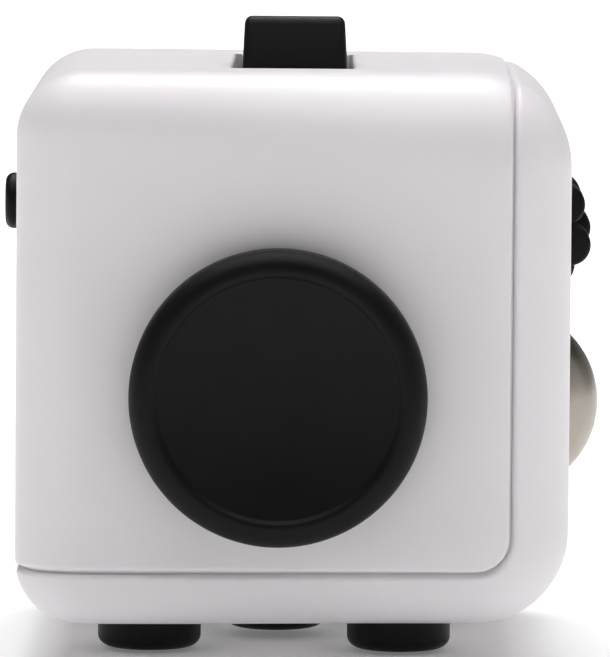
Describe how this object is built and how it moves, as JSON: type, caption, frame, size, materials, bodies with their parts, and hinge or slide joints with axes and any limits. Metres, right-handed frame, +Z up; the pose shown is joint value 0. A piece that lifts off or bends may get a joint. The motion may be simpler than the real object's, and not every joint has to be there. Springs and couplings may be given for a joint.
{
  "type": "fidget cube",
  "caption": "Palm-sized rounded cube with a gliding joystick, a rocker switch, a spinning dial, gear wheels with a rolling ball, push buttons and a thumb hollow.",
  "frame": {"origin": "middle of the whole object's box in X and Y, on the surface that the buttons stand on", "axes": "+X to the gear and ball side, +Y to the back with the thumb hollow, +Z up to the switch"},
  "size_m": [0.0362, 0.0362, 0.0383],
  "materials": {
    "case_plastic": "fine satin, moulded, white",
    "black_plastic": "satin black, rubbery, rounded edges",
    "inner_plastic": "moulded dark grey",
    "slippery_plastic": "smooth ivory acetal",
    "ball_metal": "satin steel",
    "steel": "plated"
  },
  "bodies": {
    "case": {"front_shell": "case_plastic", "rear_shell": "case_plastic", "switch_pin": "steel", "switch_cradle": "inner_plastic", "switch_screws": "steel", "dial_washer": "steel", "dial_bridge": "inner_plastic", "dial_screws": "steel", "gear_axle": "steel", "gear_spacers": "steel", "gear_carrier": "inner_plastic", "gear_screws": "steel", "ball_spring": "steel", "ball_carrier": "inner_plastic", "ball_screws": "steel", "click_domes": "steel", "button_plate": "inner_plastic", "button_screws": "steel", "spring_front_left": "steel", "spring_front_right": "steel", "spring_middle": "steel", "spring_rear_left": "steel", "spring_rear_right": "steel"},
    "joystick_slider": {"joystick_slider": "inner_plastic"},
    "joystick": {"joystick_cap": "black_plastic", "joystick_retainer": "steel", "joystick_screw": "steel"},
    "switch": {"switch_rocker": "black_plastic", "switch_plunger": "steel", "switch_spring": "steel"},
    "dial": {"dial": "black_plastic"},
    "gear_front": {"gear_front": "black_plastic"},
    "gear_middle": {"gear_middle": "black_plastic"},
    "gear_rear": {"gear_rear": "black_plastic"},
    "ball_cup": {"ball_cup": "inner_plastic"},
    "ball_seat": {"ball_seat": "slippery_plastic"},
    "ball": {"roller_ball": "ball_metal"},
    "button_front_left": {"button_front_left": "black_plastic"},
    "button_front_right": {"button_front_right": "black_plastic"},
    "button_middle": {"button_middle": "black_plastic"},
    "button_rear_left": {"button_rear_left": "black_plastic"},
    "button_rear_right": {"button_rear_right": "black_plastic"}
  },
  "joints": [
    {"name": "joystick_glide_side", "type": "slide", "parent": "case", "child": "joystick_slider", "axis": [1, 0, 0], "range_m": [-0.00115, 0.00285]},
    {"name": "joystick_glide_up", "type": "slide", "parent": "joystick_slider", "child": "joystick", "axis": [0, 0, 1], "range_m": [0, 0.004]},
    {"name": "switch_rock", "type": "hinge", "parent": "case", "child": "switch", "pos_m": [-0.00044, 0.00165, 0.032], "axis": [1, 0, 0], "range_deg": [0, 22]},
    {"name": "dial_spin", "type": "hinge", "parent": "case", "child": "dial", "pos_m": [-0.01695, 0.00165, 0.0186], "axis": [-1, 0, 0], "continuous": true},
    {"name": "gear_front_spin", "type": "hinge", "parent": "case", "child": "gear_front", "pos_m": [0.01306, 0.00165, 0.02515], "axis": [0, 1, 0], "continuous": true},
    {"name": "gear_middle_spin", "type": "hinge", "parent": "case", "child": "gear_middle", "pos_m": [0.01306, 0.00165, 0.02515], "axis": [0, 1, 0], "continuous": true},
    {"name": "gear_rear_spin", "type": "hinge", "parent": "case", "child": "gear_rear", "pos_m": [0.01306, 0.00165, 0.02515], "axis": [0, 1, 0], "continuous": true},
    {"name": "ball_press", "type": "slide", "parent": "case", "child": "ball_cup", "axis": [-1, 0, 0], "range_m": [0, 0.001], "stiffness_N_per_m": 400, "springref_m": -0.0004, "deforming": ["ball_spring"]},
    {"name": "ball_swivel", "type": "hinge", "parent": "ball_cup", "child": "ball_seat", "pos_m": [0.01236, 0.00165, 0.01448], "axis": [1, 0, 0], "continuous": true},
    {"name": "ball_roll", "type": "hinge", "parent": "ball_seat", "child": "ball", "pos_m": [0.01236, 0.00165, 0.01448], "axis": [0, 1, 0], "continuous": true},
    {"name": "button_front_left_press", "type": "slide", "parent": "case", "child": "button_front_left", "axis": [0, 0, 1], "range_m": [0, 0.001], "stiffness_N_per_m": 400, "springref_m": -0.0002, "deforming": ["spring_front_left"]},
    {"name": "button_front_right_press", "type": "slide", "parent": "case", "child": "button_front_right", "axis": [0, 0, 1], "range_m": [0, 0.001], "stiffness_N_per_m": 400, "springref_m": -0.0002, "deforming": ["spring_front_right"]},
    {"name": "button_middle_press", "type": "slide", "parent": "case", "child": "button_middle", "axis": [0, 0, 1], "range_m": [0, 0.001], "stiffness_N_per_m": 400, "springref_m": -0.0002, "deforming": ["spring_middle"]},
    {"name": "button_rear_left_press", "type": "slide", "parent": "case", "child": "button_rear_left", "axis": [0, 0, 1], "range_m": [0, 0.001], "stiffness_N_per_m": 400, "springref_m": -0.0002, "deforming": ["spring_rear_left"]},
    {"name": "button_rear_right_press", "type": "slide", "parent": "case", "child": "button_rear_right", "axis": [0, 0, 1], "range_m": [0, 0.001], "stiffness_N_per_m": 400, "springref_m": -0.0002, "deforming": ["spring_rear_right"]}
  ]
}
